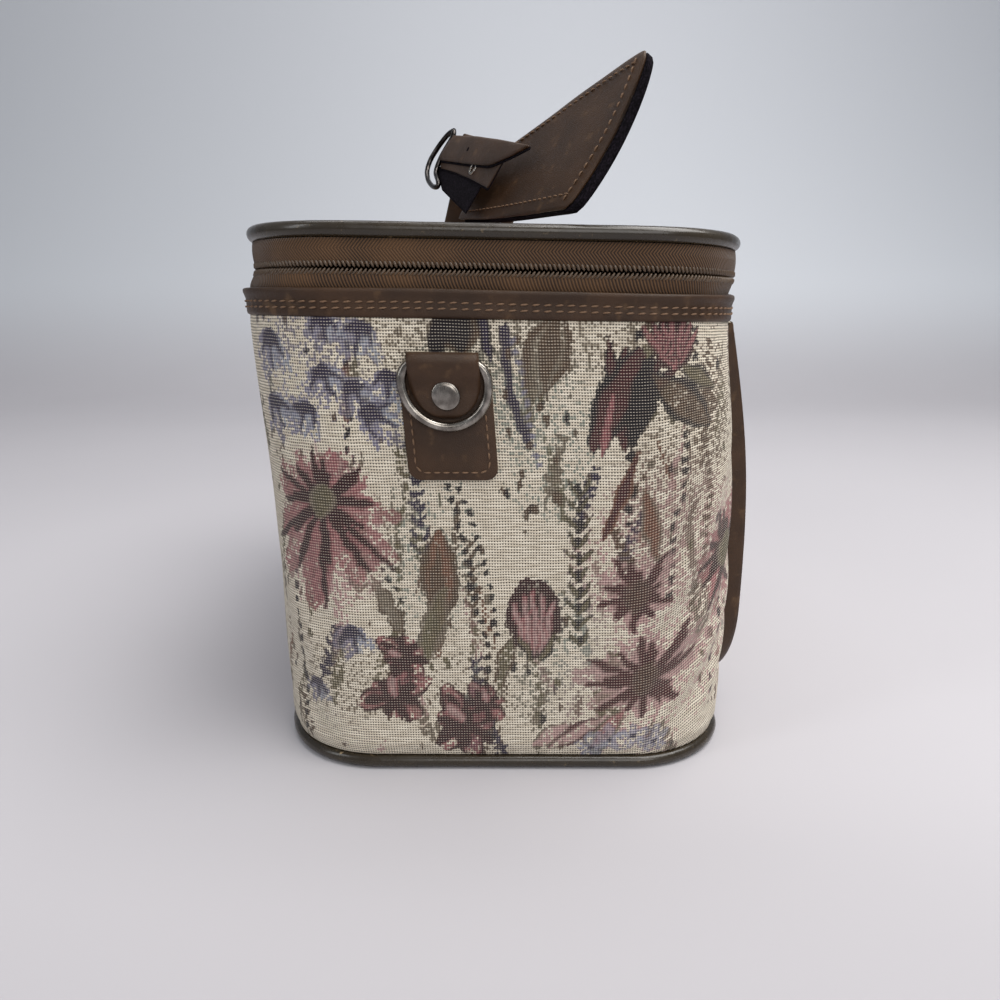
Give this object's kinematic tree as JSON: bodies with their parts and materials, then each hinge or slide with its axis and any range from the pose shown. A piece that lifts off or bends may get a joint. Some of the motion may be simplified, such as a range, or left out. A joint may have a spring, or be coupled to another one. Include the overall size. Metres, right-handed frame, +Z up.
{
  "type": "cosmetic train case",
  "caption": "Soft-sided cosmetic case with a zipped lid hinged at the back, end D-rings, a front pocket, a top handle and a luggage tag.",
  "frame": {"origin": "middle of the case's outline on the underside of the base", "axes": "+X along the length of the case towards its right end, -Y out of its front with the pocket, +Z up"},
  "size_m": [0.3194, 0.2122, 0.2749],
  "materials": {
    "tapestry": "coarse woven floral tapestry",
    "brown_leather": "smooth brown leather, satin",
    "vinyl_piping": "olive brown vinyl, semi-gloss",
    "zip_tape": "brown herringbone tape",
    "zip_teeth": "dark brown nylon coil",
    "lining": "plain grey-brown lining",
    "black_webbing": "black felt backing",
    "nickel": "brushed nickel plate"
  },
  "bodies": {
    "case": {"base_panel": "tapestry", "base_piping": "vinyl_piping", "wall_panel": "tapestry", "case_lining": "lining", "rim_band": "brown_leather", "lower_tape": "zip_tape", "lower_teeth": "zip_teeth", "zip_slider": "nickel", "zip_end_tabs": "brown_leather", "lower_hinge_strip": "brown_leather", "front_pocket": "tapestry", "pocket_binding": "brown_leather", "left_patch": "brown_leather", "left_tab": "brown_leather", "left_rivet": "nickel", "right_patch": "brown_leather", "right_tab": "brown_leather", "right_rivet": "nickel"},
    "lid": {"lid_panel": "tapestry", "lid_lining": "lining", "lid_piping": "vinyl_piping", "upper_tape": "zip_tape", "upper_teeth": "zip_teeth", "upper_hinge_strip": "brown_leather", "handle_strap": "brown_leather", "handle_grip": "brown_leather", "left_anchor": "brown_leather", "right_anchor": "brown_leather", "tag_front": "brown_leather", "tag_back": "black_webbing", "tag_loop": "brown_leather", "tag_strap_end": "brown_leather", "tag_buckle": "nickel", "tag_prong": "nickel", "tag_eyelet": "nickel"},
    "left_ring": {"left_ring": "nickel"},
    "right_ring": {"right_ring": "nickel"},
    "pull": {"zip_pull": "nickel"}
  },
  "joints": [
    {"name": "lid_hinge", "type": "hinge", "parent": "case", "child": "lid", "pos_m": [0, 0.1, 0.2037], "axis": [-1, 0, 0], "range_deg": [0, 100]},
    {"name": "left_ring_swing", "type": "hinge", "parent": "case", "child": "left_ring", "pos_m": [-0.1566, 0.017, 0.171], "axis": [0, 1, 0], "range_deg": [0, 150]},
    {"name": "right_ring_swing", "type": "hinge", "parent": "case", "child": "right_ring", "pos_m": [0.1566, 0.017, 0.171], "axis": [0, -1, 0], "range_deg": [0, 150]},
    {"name": "pull_swing", "type": "hinge", "parent": "case", "child": "pull", "pos_m": [0.14071, 0.08928, 0.2037], "axis": [0, 0, 1], "range_deg": [0, 160]}
  ]
}
